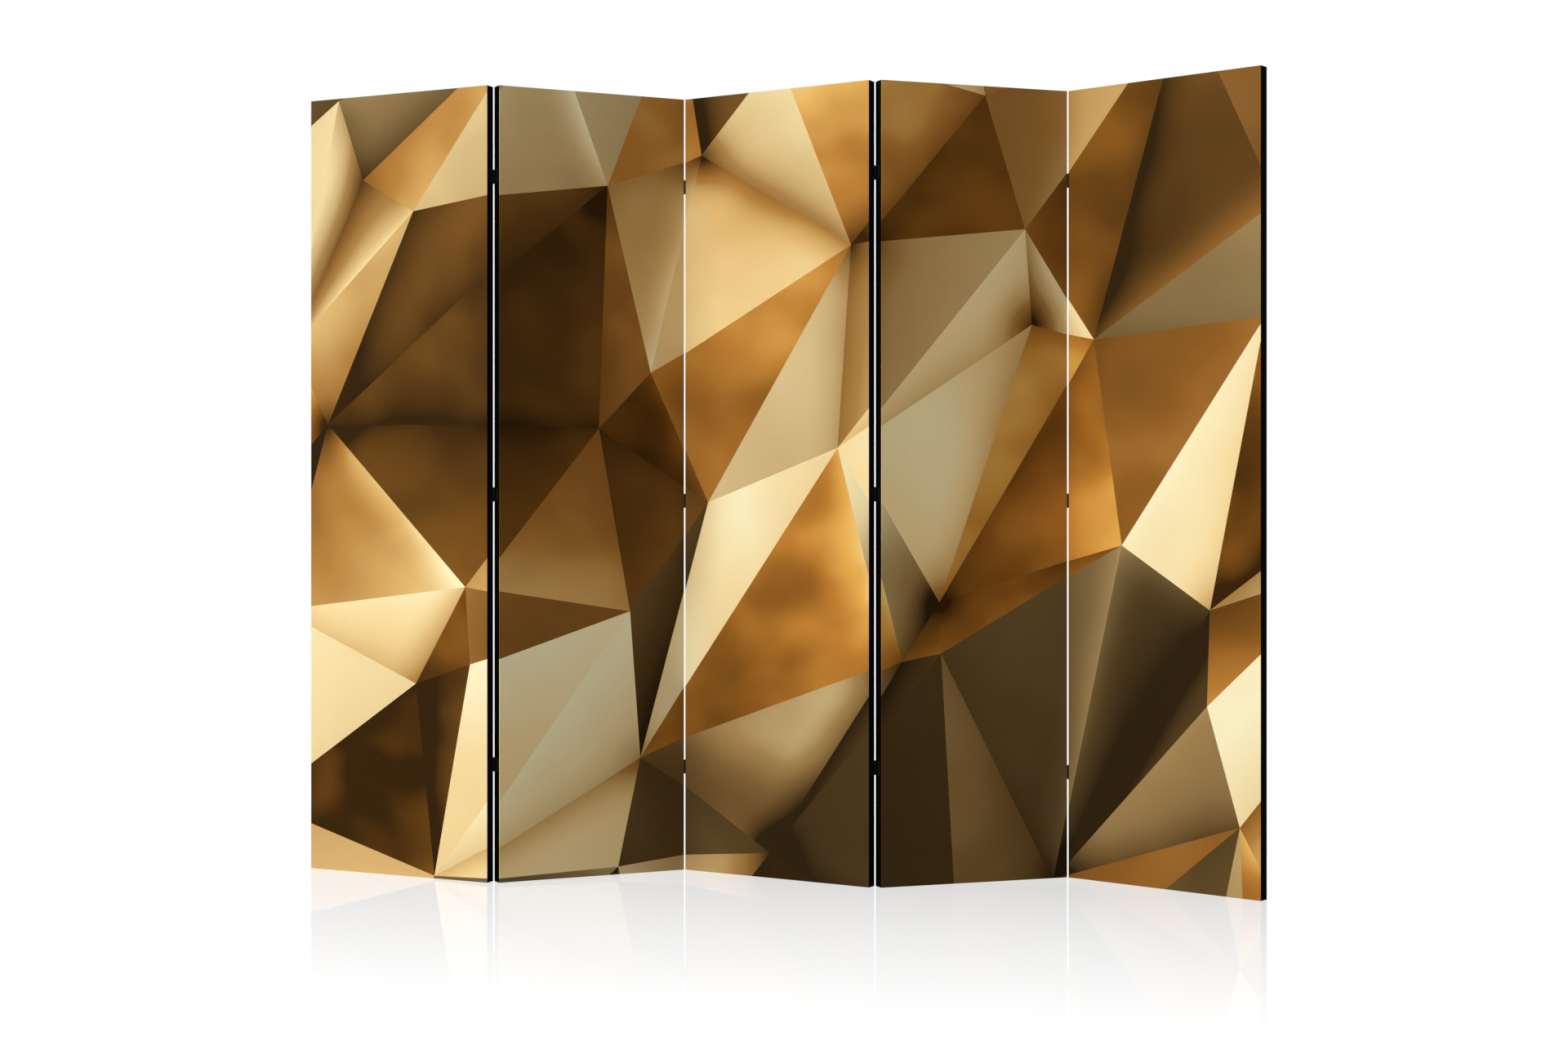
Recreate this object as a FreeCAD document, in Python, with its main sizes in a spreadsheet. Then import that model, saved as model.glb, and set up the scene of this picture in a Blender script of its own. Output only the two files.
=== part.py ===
import FreeCAD, Part

import math
import os

import Sketcher
from FreeCAD import Placement, Rotation, Vector

# A folding room divider: five canvas panels on wooden frames, standing in a zigzag on hinges.
# Seen from the printed side, X runs to the right, Y away from the viewer and Z up. The origin lies
# on the floor, under the middle of the screen as it stands. Lengths are in millimetres.

DRIVING_SIZES = [
    ("panel_width", 450, "one panel, over its canvas"),
    ("panel_height", 1720, "one panel, over its canvas"),
    ("canvas_thickness", 0.7, "printed canvas"),
    ("lining_thickness", 0.6, "cloth that closes the back"),
    ("wood_depth", 26, "depth of the wooden frame"),
    ("stile_width", 45, "upright of the frame, seen from the front"),
    ("rail_width", 45, "cross rail of the frame, seen from the front"),
    ("tenon_length", 25, "rail's tongue inside the stile"),
    ("tenon_thickness", 9, "rail's tongue, along the frame's depth"),
    ("tenon_shoulder", 7, "rail's edge to its tongue"),
    ("fit_clearance", 0.1, "round a tongue and round a staple's legs"),
    ("turnover_width", 22, "canvas turned over onto the back"),
    ("lining_inset", 6, "panel's edge to the lining"),
    ("staple_inset", 13, "panel's edge to a row of staples"),
    ("staple_pitch", 190, "longest step from one staple to the next"),
    ("staple_crown", 10, "staple, across its legs"),
    ("staple_leg", 7, "staple's leg inside the cloth and wood"),
    ("staple_wire_width", 1.2, "flat wire, across"),
    ("staple_wire_thickness", 0.6, "flat wire, through"),
    ("side_gap", 1.4, "between two panels that stand in line"),
    ("pin_stand_off", 1.4, "canvas's face to the hinge pin's axis"),
    ("hinge_height", 30, "leaf and barrel"),
    ("leaf_width", 18, "leaf's plate, along the panel's depth"),
    ("leaf_thickness", 0.6, "leaf's plate"),
    ("leaf_setback", 0.3, "canvas's face to the leaf's plate"),
    ("knuckle_radius", 1.4, "outside of the barrel"),
    ("knuckle_gap", 0.2, "between knuckles, along the pin"),
    ("pin_radius", 0.7, "hinge pin"),
    ("pin_clearance", 0.05, "round the pin in its knuckles"),
    ("pin_head_radius", 1.2, "pin's two heads"),
    ("pin_head_height", 0.8, "pin's two heads"),
    ("screw_length", 16, "countersunk wood screw"),
    ("screw_tip_length", 4, "pointed end of the screw"),
    ("screw_radius", 1.5, "screw's shank"),
    ("screw_head_radius", 2.4, "screw's countersunk head"),
    ("screw_clearance", 0.05, "round the screw in its hole"),
    ("screw_spacing", 17, "between the two screws of a leaf"),
    ("screw_row", 12, "pin's axis to the screws"),
    ("slot_length", 3.2, "cross slot in the screw's head"),
    ("slot_width", 0.6, "cross slot in the screw's head"),
    ("slot_depth", 0.6, "cross slot in the screw's head"),
    ("overrun", 1, "how far a cut runs past what it cuts"),
    ("fold_1", 52, "degrees, from panels 1 and 2 in line to how they stand"),
    ("fold_2", 58, "degrees, panels 2 and 3"),
    ("fold_3", 52, "degrees, panels 3 and 4"),
    ("fold_4", 62, "degrees, panels 4 and 5"),
]

# Hinge centres as shares of the panel's height, counted from its top. A ridge folds towards the
# viewer and has its pins on the back; a valley folds away and has its pins on the front.
RIDGE_HINGE_SHARES = (0.113, 0.513, 0.853)
VALLEY_HINGE_SHARES = (0.114, 0.521, 0.866)
PANEL_COUNT = 5
ROOT_PANEL = 3
KNUCKLES_PER_HINGE = 3
QUARTER_TURN = 90
HALF_TURN = 180


class Size:
    """A length, with the sheet formula that it is bound to."""

    def __init__(self, formula, value):
        self.formula = str(formula)
        self.value = value

    def __add__(self, other):
        other = asSize(other)
        return Size(f"({self.formula} + {other.formula})", self.value + other.value)

    def __sub__(self, other):
        other = asSize(other)
        return Size(f"({self.formula} - {other.formula})", self.value - other.value)

    def __mul__(self, factor):
        return Size(f"{self.formula} * {factor}", self.value * factor)

    def __truediv__(self, divisor):
        return Size(f"{self.formula} / {divisor}", self.value / divisor)

    def __neg__(self):
        return self * -1


def asSize(length):
    return length if isinstance(length, Size) else Size(length, length)


def bind(thing, prop, length):
    thing.setExpression(prop, asSize(length).formula)


document = FreeCAD.newDocument("RoomDivider")
sheet = document.addObject("Spreadsheet::Sheet", "Sizes")
for row, (alias, amount, note) in enumerate(DRIVING_SIZES, start=1):
    sheet.set(f"A{row}", alias)
    sheet.set(f"B{row}", str(amount))
    sheet.set(f"C{row}", note)
    sheet.setAlias(f"B{row}", alias)
document.recompute()


def size(alias):
    return Size(f"Sizes.{alias}", float(sheet.get(alias)))


WIDTH = size("panel_width")
HEIGHT = size("panel_height")
CANVAS = size("canvas_thickness")
LINING = size("lining_thickness")
WOOD = size("wood_depth")
STILE = size("stile_width")
RAIL = size("rail_width")
FIT = size("fit_clearance")
INSET = size("lining_inset")
TURNOVER = size("turnover_width")
OVERRUN = size("overrun")
CORE = CANVAS + WOOD + CANVAS
WOOD_WIDTH = WIDTH - CANVAS * 2
WOOD_HEIGHT = HEIGHT - CANVAS * 2
HALF_GAP = size("side_gap") / 2
STAND_OFF = size("pin_stand_off")


def originPlane(body, role):
    return next(part for part in body.Origin.OriginFeatures if part.Role == role)


def newBody(name):
    return document.addObject("PartDesign::Body", name)


def newSketch(body, name, role, offset):
    """A sketch on one of the body's own origin planes, moved along the plane's normal."""
    sketch = body.newObject("Sketcher::SketchObject", name)
    sketch.AttachmentSupport = [(originPlane(body, role), "")]
    sketch.MapMode = "FlatFace"
    bind(sketch, "AttachmentOffset.Base.z", offset)
    return sketch


def drive(sketch, kind, places, length):
    """One dimension of a sketch, bound to the sheet."""
    index = sketch.addConstraint(Sketcher.Constraint(kind, *places, length.value))
    bind(sketch, f"Constraints[{index}]", length)


def addOutline(sketch, points):
    """A closed outline of straight lines, each corner placed from the origin."""
    first = sketch.GeometryCount
    points = [(asSize(x), asSize(y)) for x, y in points]
    corners = [Vector(x.value, y.value, 0) for x, y in points]
    for start, end in zip(corners, corners[1:] + corners[:1]):
        sketch.addGeometry(Part.LineSegment(start, end))
    for index, (x, y) in enumerate(points):
        line = first + index
        following = first + (index + 1) % len(points)
        sketch.addConstraint(Sketcher.Constraint("Coincident", line, 2, following, 1))
        drive(sketch, "DistanceX", (-1, 1, line, 1), x)
        drive(sketch, "DistanceY", (-1, 1, line, 1), y)


def addRectangle(sketch, left, low, width, height):
    left, low = asSize(left), asSize(low)
    right, high = left + width, low + height
    addOutline(sketch, [(left, low), (right, low), (right, high), (left, high)])


def addCircle(sketch, radius):
    """A circle about the sketch's origin."""
    circle = sketch.addGeometry(Part.Circle(Vector(0, 0, 0), Vector(0, 0, 1), radius.value))
    sketch.addConstraint(Sketcher.Constraint("Coincident", circle, 3, -1, 1))
    drive(sketch, "Radius", (circle,), radius)


def addPad(body, sketch, length, reverse=False):
    pad = body.newObject("PartDesign::Pad", sketch.Name + "_pad")
    pad.Profile = sketch
    pad.Reversed = reverse
    bind(pad, "Length", length)
    return pad


def addPocket(body, sketch, depth, reverse=False):
    """Cuts against the sketch's normal, or along it when reversed, and has to take material away."""
    document.recompute()
    before = body.Shape.Volume
    pocket = body.newObject("PartDesign::Pocket", sketch.Name + "_pocket")
    pocket.Profile = sketch
    pocket.Reversed = reverse
    bind(pocket, "Length", depth)
    document.recompute()
    if body.Shape.Volume >= before:
        raise RuntimeError(f"{pocket.Name} cuts nothing")
    return pocket


def addLink(name, master, place):
    link = document.addObject("App::Link", name)
    link.LinkedObject = master
    link.Placement = place
    return link


def addGroup(name, links):
    group = document.addObject("Part::Compound", name)
    group.Links = links
    return group


def turned(x, y, z, degrees=0):
    """A place at x, y, z, turned about the upright axis."""
    spot = Vector(*(asSize(length).value for length in (x, y, z)))
    return Placement(spot, Rotation(Vector(0, 0, 1), degrees))


# Staples

STAPLE_CROWN = size("staple_crown")
STAPLE_LEG = size("staple_leg")
WIRE_WIDTH = size("staple_wire_width")
WIRE = size("staple_wire_thickness")


def makeStaple():
    """One staple: its crown lies on the lining along Z, its legs point to -Y."""
    body = newBody("staple_master")
    side = newSketch(body, "staple_side", "YZ_Plane", -WIRE_WIDTH / 2)
    half, inner = STAPLE_CROWN / 2, STAPLE_CROWN / 2 - WIRE
    outline = [(WIRE, -half), (WIRE, half), (-STAPLE_LEG, half), (-STAPLE_LEG, inner)]
    outline += [(0, inner), (0, -inner), (-STAPLE_LEG, -inner), (-STAPLE_LEG, -half)]
    addOutline(side, outline)
    addPad(body, side, WIRE_WIDTH)
    return body


def makeStapleCutter():
    """The room for one staple's two legs."""
    body = newBody("staple_cutter")
    plan = newSketch(body, "staple_legs", "XZ_Plane", -OVERRUN)
    half = STAPLE_CROWN / 2 + FIT
    for low in (-half, half - WIRE - FIT * 2):
        addRectangle(plan, -WIRE_WIDTH / 2 - FIT, low, WIRE_WIDTH + FIT * 2, WIRE + FIT * 2)
    body.AllowCompound = True
    addPad(body, plan, OVERRUN + STAPLE_LEG + FIT)
    return body


def evenSteps(start, end):
    """Places from start to end, no further apart than the staples' pitch."""
    span = end.value - start.value
    steps = max(1, math.ceil(span / size("staple_pitch").value))
    return [start.value + span * step / steps for step in range(steps + 1)]


def staplePlaces():
    """Every staple of one panel: two upright rows, and one row along the top and the bottom."""
    edge = size("staple_inset")
    corner = edge * 2
    back = CORE + LINING
    places = []
    for x in (edge, WIDTH - edge):
        places += [turned(x, back, z) for z in evenSteps(corner, HEIGHT - corner)]
    lying = Rotation(Vector(0, 1, 0), QUARTER_TURN)
    for z in (edge, HEIGHT - edge):
        for x in evenSteps(corner * 2, WIDTH - corner * 2):
            places.append(Placement(Vector(x, back.value, z.value), lying))
    return places


# Hinges

HINGE = size("hinge_height")
LEAF = size("leaf_thickness")
LEAF_START = STAND_OFF + size("leaf_setback")
KNUCKLE = size("knuckle_radius")
KNUCKLE_GAP = size("knuckle_gap")
KNUCKLE_HEIGHT = (HINGE - KNUCKLE_GAP * (KNUCKLES_PER_HINGE - 1)) / KNUCKLES_PER_HINGE
PIN = size("pin_radius")
PIN_BORE = PIN + size("pin_clearance")
SCREW = size("screw_radius")
SCREW_HEAD = size("screw_head_radius")
SCREW_HOLE = SCREW + size("screw_clearance")
SCREW_LENGTH = size("screw_length")
SCREW_ROW = size("screw_row")
HEAD_DEPTH = SCREW_HEAD - SCREW


def leafScrewPlaces(hand):
    """A leaf's two screws: heads flush with the leaf's inner side, points towards the wood."""
    surface = (HALF_GAP - LEAF) * hand
    inwards = Rotation(Vector(0, 1, 0), QUARTER_TURN * hand)
    half = size("screw_spacing") / 2
    heights = (HINGE / 2 - half, HINGE / 2 + half)
    return [Placement(Vector(surface.value, SCREW_ROW.value, z.value), inwards) for z in heights]


def makeLeaf(name, hand, cleared):
    """One leaf about the pin's axis: hand is 1 for the leaf on +X and -1 for the leaf on -X.

    cleared lists the stretches, low and height, that belong to the other leaf's knuckles.
    """
    body = newBody(name)
    near = (HALF_GAP - LEAF) if hand > 0 else -HALF_GAP
    plate = newSketch(body, name + "_plate", "XY_Plane", 0)
    addRectangle(plate, near, LEAF_START, LEAF, size("leaf_width"))
    addPad(body, plate, HINGE)
    web = newSketch(body, name + "_web", "XY_Plane", 0)
    addRectangle(web, near, 0, LEAF, LEAF_START)
    addPad(body, web, HINGE)
    barrel = newSketch(body, name + "_barrel", "XY_Plane", 0)
    addCircle(barrel, KNUCKLE)
    addPad(body, barrel, HINGE)
    bore = newSketch(body, name + "_bore", "XY_Plane", 0)
    addCircle(bore, PIN_BORE)
    addPocket(body, bore, HINGE, reverse=True)
    notch = newSketch(body, name + "_notch", "XZ_Plane", KNUCKLE)
    for low, height in cleared:
        addRectangle(notch, -KNUCKLE - OVERRUN, low, (KNUCKLE + OVERRUN) * 2, height)
    addPocket(body, notch, KNUCKLE + LEAF_START)
    return body


def makeScrew():
    """One screw: its head is flush with Z zero and its point goes up."""
    body = newBody("screw_master")
    profile = newSketch(body, "screw_profile", "XZ_Plane", 0)
    outline = [(0, 0), (SCREW_HEAD, 0), (SCREW, HEAD_DEPTH)]
    outline += [(SCREW, SCREW_LENGTH - size("screw_tip_length")), (0, SCREW_LENGTH)]
    addOutline(profile, outline)
    turn = body.newObject("PartDesign::Revolution", "screw_turn")
    turn.Profile = profile
    turn.ReferenceAxis = (profile, ["V_Axis"])
    long, narrow = size("slot_length"), size("slot_width")
    for name, across, along in (("slot_x", long, narrow), ("slot_y", narrow, long)):
        slot = newSketch(body, name, "XY_Plane", 0)
        addRectangle(slot, -across / 2, -along / 2, across, along)
        addPocket(body, slot, size("slot_depth"), reverse=True)
    return body


def makeScrewCutter():
    """The room for one screw in the leaf, the canvas and the wood."""
    body = newBody("screw_cutter")
    play = size("screw_clearance")
    profile = newSketch(body, "screw_room", "XZ_Plane", 0)
    head, shank = SCREW_HEAD + play + OVERRUN, SCREW_HOLE
    outline = [(0, -OVERRUN), (head, -OVERRUN), (shank, HEAD_DEPTH), (shank, SCREW_LENGTH)]
    addOutline(profile, outline + [(0, SCREW_LENGTH + play)])
    turn = body.newObject("PartDesign::Revolution", "screw_room_turn")
    turn.Profile = profile
    turn.ReferenceAxis = (profile, ["V_Axis"])
    return body


def makePin():
    """One hinge pin with a low head on each end, standing on the leaf's lower edge."""
    body = newBody("pin_master")
    profile = newSketch(body, "pin_profile", "XZ_Plane", 0)
    head, rise = size("pin_head_radius"), size("pin_head_height")
    rim, gap = (head + PIN) / 2, size("pin_clearance")
    low, high = -gap, HINGE + gap
    outline = [(0, low - rise), (rim, low - rise), (head, low - rise / 2), (head, low), (PIN, low)]
    outline += [(PIN, high), (head, high), (head, high + rise / 2), (rim, high + rise)]
    addOutline(profile, outline + [(0, high + rise)])
    turn = body.newObject("PartDesign::Revolution", "pin_turn")
    turn.Profile = profile
    turn.ReferenceAxis = (profile, ["V_Axis"])
    return body


# How the panels stand

def isRidge(joint):
    return joint % 2 == 1


def pinDepth(joint):
    """The pin's place in depth: behind the back at a ridge, before the front at a valley."""
    return CORE + STAND_OFF if isRidge(joint) else -STAND_OFF


def pinInPanel(joint, panel):
    """The joint's pin axis in the frame of the panel on its left or its right."""
    across = WIDTH + HALF_GAP if panel == joint else -HALF_GAP
    return turned(across, pinDepth(joint), 0)


def panelPlaces():
    """Each panel's place: hinged one to the next, in line with X and centred on the origin."""
    places = [Placement()]
    for joint in range(1, PANEL_COUNT):
        fold = size(f"fold_{joint}").value
        turn = turned(0, 0, 0, fold if isRidge(joint) else -fold)
        step = pinInPanel(joint, joint) * turn * pinInPanel(joint, joint + 1).inverse()
        places.append(places[-1] * step)
    end = places[-1].multVec(Vector(WIDTH.value, 0, 0))
    level = turned(0, 0, 0, -math.degrees(math.atan2(end.y, end.x)))
    places = [level * place for place in places]
    corners = [Vector(x, y, 0) for x in (0, WIDTH.value) for y in (0, CORE.value)]
    spots = [place.multVec(corner) for place in places for corner in corners]
    across = [spot.x for spot in spots]
    along = [spot.y for spot in spots]
    centre = turned(-(min(across) + max(across)) / 2, -(min(along) + max(along)) / 2, 0)
    return [centre * place for place in places]


def hingePlaces(joint, panel):
    """The joint's three hinges in the panel's frame, each at its lower edge."""
    shares = RIDGE_HINGE_SHARES if isRidge(joint) else VALLEY_HINGE_SHARES
    flip = HALF_TURN if isRidge(joint) else 0
    lows = [HEIGHT * (1 - share) - HINGE / 2 for share in shares]
    return [pinInPanel(joint, panel) * turned(0, 0, low, flip) for low in lows]


def leafHand(joint, panel):
    """1 where the panel carries the leaf on the hinge's own +X side, else -1."""
    onRight = panel == joint + 1
    return 1 if onRight != isRidge(joint) else -1


def screwPlaces(joint, panel):
    """The joint's screws in the panel's frame."""
    screws = leafScrewPlaces(leafHand(joint, panel))
    return [hinge * screw for hinge in hingePlaces(joint, panel) for screw in screws]


def panelJoints(panel):
    return [joint for joint in (panel - 1, panel) if 0 < joint < PANEL_COUNT]


# Pieces of a panel

INNER_X = CANVAS + STILE
TENON_LENGTH = size("tenon_length")
TENON_THICKNESS = size("tenon_thickness")
TENON_SHOULDER = size("tenon_shoulder")
TENON_FRONT = CANVAS + WOOD / 2 - TENON_THICKNESS / 2
RAIL_LOWS = {
    "bottom_rail": CANVAS,
    "middle_rail": HEIGHT / 2 - RAIL / 2,
    "top_rail": HEIGHT - CANVAS - RAIL,
}


def makeStile(name, isLeft):
    body = newBody(name + "_wood")
    left = CANVAS if isLeft else WIDTH - CANVAS - STILE
    section = newSketch(body, name + "_section", "XY_Plane", CANVAS)
    addRectangle(section, left, CANVAS, STILE, WOOD)
    addPad(body, section, WOOD_HEIGHT)
    mortises = newSketch(body, name + "_mortises", "YZ_Plane", INNER_X if isLeft else WIDTH - INNER_X)
    for low in RAIL_LOWS.values():
        tongue = RAIL - TENON_SHOULDER * 2
        addRectangle(mortises, TENON_FRONT - FIT, low + TENON_SHOULDER - FIT,
                     TENON_THICKNESS + FIT * 2, tongue + FIT * 2)
    addPocket(body, mortises, TENON_LENGTH + FIT, reverse=not isLeft)
    return body


def makeRail(name, low):
    body = newBody(name + "_wood")
    front = newSketch(body, name + "_front", "XZ_Plane", -CANVAS)
    addRectangle(front, INNER_X, low, WIDTH - INNER_X * 2, RAIL)
    addPad(body, front, WOOD, reverse=True)
    tongue = newSketch(body, name + "_tongue", "XZ_Plane", -TENON_FRONT)
    addRectangle(tongue, INNER_X - TENON_LENGTH, low + TENON_SHOULDER,
                 WIDTH - INNER_X * 2 + TENON_LENGTH * 2, RAIL - TENON_SHOULDER * 2)
    addPad(body, tongue, TENON_THICKNESS, reverse=True)
    return body


def makeCanvas(name):
    """The canvas: over the front, round all four edges and turned over onto the back."""
    body = newBody(name + "_cloth")
    block = newSketch(body, name + "_block", "XY_Plane", 0)
    addRectangle(block, 0, 0, WIDTH, CORE)
    addPad(body, block, HEIGHT)
    window = newSketch(body, name + "_window", "XZ_Plane", -CORE)
    addRectangle(window, TURNOVER, TURNOVER, WIDTH - TURNOVER * 2, HEIGHT - TURNOVER * 2)
    addPocket(body, window, CORE - CANVAS, reverse=True)
    hollow = newSketch(body, name + "_hollow", "XY_Plane", CANVAS)
    addRectangle(hollow, CANVAS, CANVAS, WOOD_WIDTH, WOOD)
    addPocket(body, hollow, WOOD_HEIGHT, reverse=True)
    return body


def makeLining(name):
    body = newBody(name + "_cloth")
    face = newSketch(body, name + "_face", "XZ_Plane", -CORE)
    addRectangle(face, INSET, INSET, WIDTH - INSET * 2, HEIGHT - INSET * 2)
    addPad(body, face, LINING, reverse=True)
    return body


def finish(label, thing, place, cutter=None):
    """The finished sub-part: holed where a cutter is given, named and put in its place."""
    if cutter is not None:
        cut = document.addObject("Part::Cut", label)
        cut.Base = thing
        cut.Tool = cutter
        thing = cut
    thing.Label = label
    thing.Placement = place
    return thing


staple = makeStaple()
stapleCutter = makeStapleCutter()
screw = makeScrew()
screwCutter = makeScrewCutter()
pin = makePin()
middleKnuckle = [(KNUCKLE_HEIGHT, KNUCKLE_HEIGHT + KNUCKLE_GAP * 2)]
outerKnuckles = [
    (-OVERRUN, OVERRUN + KNUCKLE_HEIGHT + KNUCKLE_GAP),
    (KNUCKLE_HEIGHT * 2 + KNUCKLE_GAP, KNUCKLE_HEIGHT + KNUCKLE_GAP + OVERRUN),
]
leafBlanks = {
    1: makeLeaf("outer_leaf", 1, middleKnuckle),
    -1: makeLeaf("inner_leaf", -1, outerKnuckles),
}


def makeHoledLeaf(hand):
    """A leaf with its two countersunk holes."""
    blank = leafBlanks[hand]
    places = leafScrewPlaces(hand)
    holes = [addLink(f"{blank.Name}_hole_{i}", screwCutter, spot) for i, spot in enumerate(places)]
    cut = document.addObject("Part::Cut", blank.Name + "_holed")
    cut.Base = blank
    cut.Tool = addGroup(blank.Name + "_holes", holes)
    return cut


leaves = {hand: makeHoledLeaf(hand) for hand in (1, -1)}
panels = panelPlaces()
subParts = []

for panel, place in enumerate(panels, start=1):
    name = f"panel_{panel}"
    rows = staplePlaces()
    screws = [spot for joint in panelJoints(panel) for spot in screwPlaces(joint, panel)]
    rooms = [addLink(f"{name}_leg_room_{i}", stapleCutter, spot) for i, spot in enumerate(rows)]
    rooms += [addLink(f"{name}_screw_room_{i}", screwCutter, spot) for i, spot in enumerate(screws)]
    cutter = addGroup(f"{name}_fixings_room", rooms)
    for side, isLeft in (("left_stile", True), ("right_stile", False)):
        label = f"{name}_{side}"
        subParts.append(finish(label, makeStile(label, isLeft), place, cutter))
    for rail, low in RAIL_LOWS.items():
        label = f"{name}_{rail}"
        room = None if rail == "middle_rail" else cutter
        subParts.append(finish(label, makeRail(label, low), place, room))
    for cloth, makeCloth in (("printed_canvas", makeCanvas), ("back_lining", makeLining)):
        label = f"{name}_{cloth}"
        subParts.append(finish(label, makeCloth(label), place, cutter))
    staples = [addLink(f"{name}_staple_{i}", staple, spot) for i, spot in enumerate(rows)]
    subParts.append(finish(f"{name}_staples", addGroup(f"{name}_staples", staples), place))
    driven = [addLink(f"{name}_screw_{i}", screw, spot) for i, spot in enumerate(screws)]
    subParts.append(finish(f"{name}_hinge_screws", addGroup(f"{name}_hinge_screws", driven), place))

for joint in range(1, PANEL_COUNT):
    for side, panel in (("left", joint), ("right", joint + 1)):
        label = f"hinge_{joint}_{side}_leaves"
        hand = leafHand(joint, panel)
        spots = hingePlaces(joint, panel)
        plates = [addLink(f"{label}_{i}", leaves[hand], spot) for i, spot in enumerate(spots)]
        subParts.append(finish(label, addGroup(label, plates), panels[panel - 1]))
        if hand > 0:
            label = f"hinge_{joint}_pins"
            pins = [addLink(f"{label}_{i}", pin, spot) for i, spot in enumerate(spots)]
            subParts.append(finish(label, addGroup(label, pins), panels[panel - 1]))

document.recompute()

for thing in document.Objects:
    if {"Invalid", "Error"} & set(thing.State):
        raise RuntimeError(f"{thing.Name} failed: {thing.State}")
os.makedirs("parts", exist_ok=True)
for subPart in subParts:
    if subPart.Shape.isNull() or not subPart.Shape.isValid():
        raise RuntimeError(f"{subPart.Label} has no valid shape")
for subPart in subParts:
    subPart.Shape.exportStep(f"parts/{subPart.Label}.step")

root = panels[ROOT_PANEL - 1]
print("sub-parts:", len(subParts))
print("panel 3 at", root.Base, "turned", math.degrees(root.Rotation.Angle) * root.Rotation.Axis.z)
for joint in range(1, PANEL_COUNT):
    axis = (panels[joint - 1] * pinInPanel(joint, joint)).Base
    print(f"hinge {joint} pin axis at {axis.x:.4f}, {axis.y:.4f}")
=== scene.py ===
import math

import bpy
import numpy as np
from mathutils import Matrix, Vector
from mathutils.geometry import delaunay_2d_cdt


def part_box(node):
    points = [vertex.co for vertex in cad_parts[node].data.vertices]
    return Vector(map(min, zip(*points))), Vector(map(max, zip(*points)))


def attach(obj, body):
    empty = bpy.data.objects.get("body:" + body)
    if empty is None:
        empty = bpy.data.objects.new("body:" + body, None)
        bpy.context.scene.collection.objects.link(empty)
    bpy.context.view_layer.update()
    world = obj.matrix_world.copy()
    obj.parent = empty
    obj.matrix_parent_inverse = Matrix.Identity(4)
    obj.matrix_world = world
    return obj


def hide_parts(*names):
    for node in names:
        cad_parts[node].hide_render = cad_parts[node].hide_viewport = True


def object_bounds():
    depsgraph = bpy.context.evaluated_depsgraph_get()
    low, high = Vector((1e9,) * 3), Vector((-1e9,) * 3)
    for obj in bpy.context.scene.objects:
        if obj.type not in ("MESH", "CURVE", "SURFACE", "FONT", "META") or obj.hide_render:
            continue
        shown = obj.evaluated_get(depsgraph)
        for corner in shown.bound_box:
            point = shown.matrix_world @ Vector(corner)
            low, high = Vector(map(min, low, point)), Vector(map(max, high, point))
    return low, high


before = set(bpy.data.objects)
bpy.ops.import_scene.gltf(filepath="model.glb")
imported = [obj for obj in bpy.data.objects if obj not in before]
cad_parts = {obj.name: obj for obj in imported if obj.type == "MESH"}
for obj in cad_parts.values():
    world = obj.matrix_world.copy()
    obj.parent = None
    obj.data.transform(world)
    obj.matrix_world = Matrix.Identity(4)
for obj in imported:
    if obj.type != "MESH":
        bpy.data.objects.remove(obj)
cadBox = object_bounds()
panelNumbers = range(1, 6)
hingeNumbers = range(1, 5)
stiles, rails = ("left_stile", "right_stile"), ("top_rail", "middle_rail", "bottom_rail")
hair = 1e-6  # metres; lengths that differ by less are the same
allTriangles, innerOnly = 0, 1  # what a Delaunay cut gives, all or those inside the outlines


# Nodes

class Wire:  # one output of a node; a sum on wires adds its Math nodes
    def __init__(self, finish, socket):
        self.finish = finish
        self.socket = socket

    def maths(self, operation, *others):
        inputs = dict(enumerate([self, *others]))
        return self.finish.node("ShaderNodeMath", {"operation": operation}, inputs)

    def __add__(self, other):
        return self.maths("ADD", other)

    __radd__ = __add__

    def __sub__(self, other):
        return self.maths("SUBTRACT", other)

    def __rsub__(self, other):
        return self.finish.node("ShaderNodeMath", {"operation": "SUBTRACT"}, {0: other, 1: self})

    def __mul__(self, other):
        return self.maths("MULTIPLY", other)

    def __truediv__(self, other):
        return self.maths("DIVIDE", other)

    def __pow__(self, other):
        return self.maths("POWER", other)

    def above(self, low=0.0):
        return self.maths("MAXIMUM", low)

    def belowOne(self):
        return self.maths("MINIMUM", 1.0)

    def sine(self):
        return self.maths("SINE")

    def size(self):
        return self.maths("ABSOLUTE")

    def parts(self):
        return [self.finish.node("ShaderNodeSeparateXYZ", {}, {0: self}, out) for out in "XYZ"]


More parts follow.
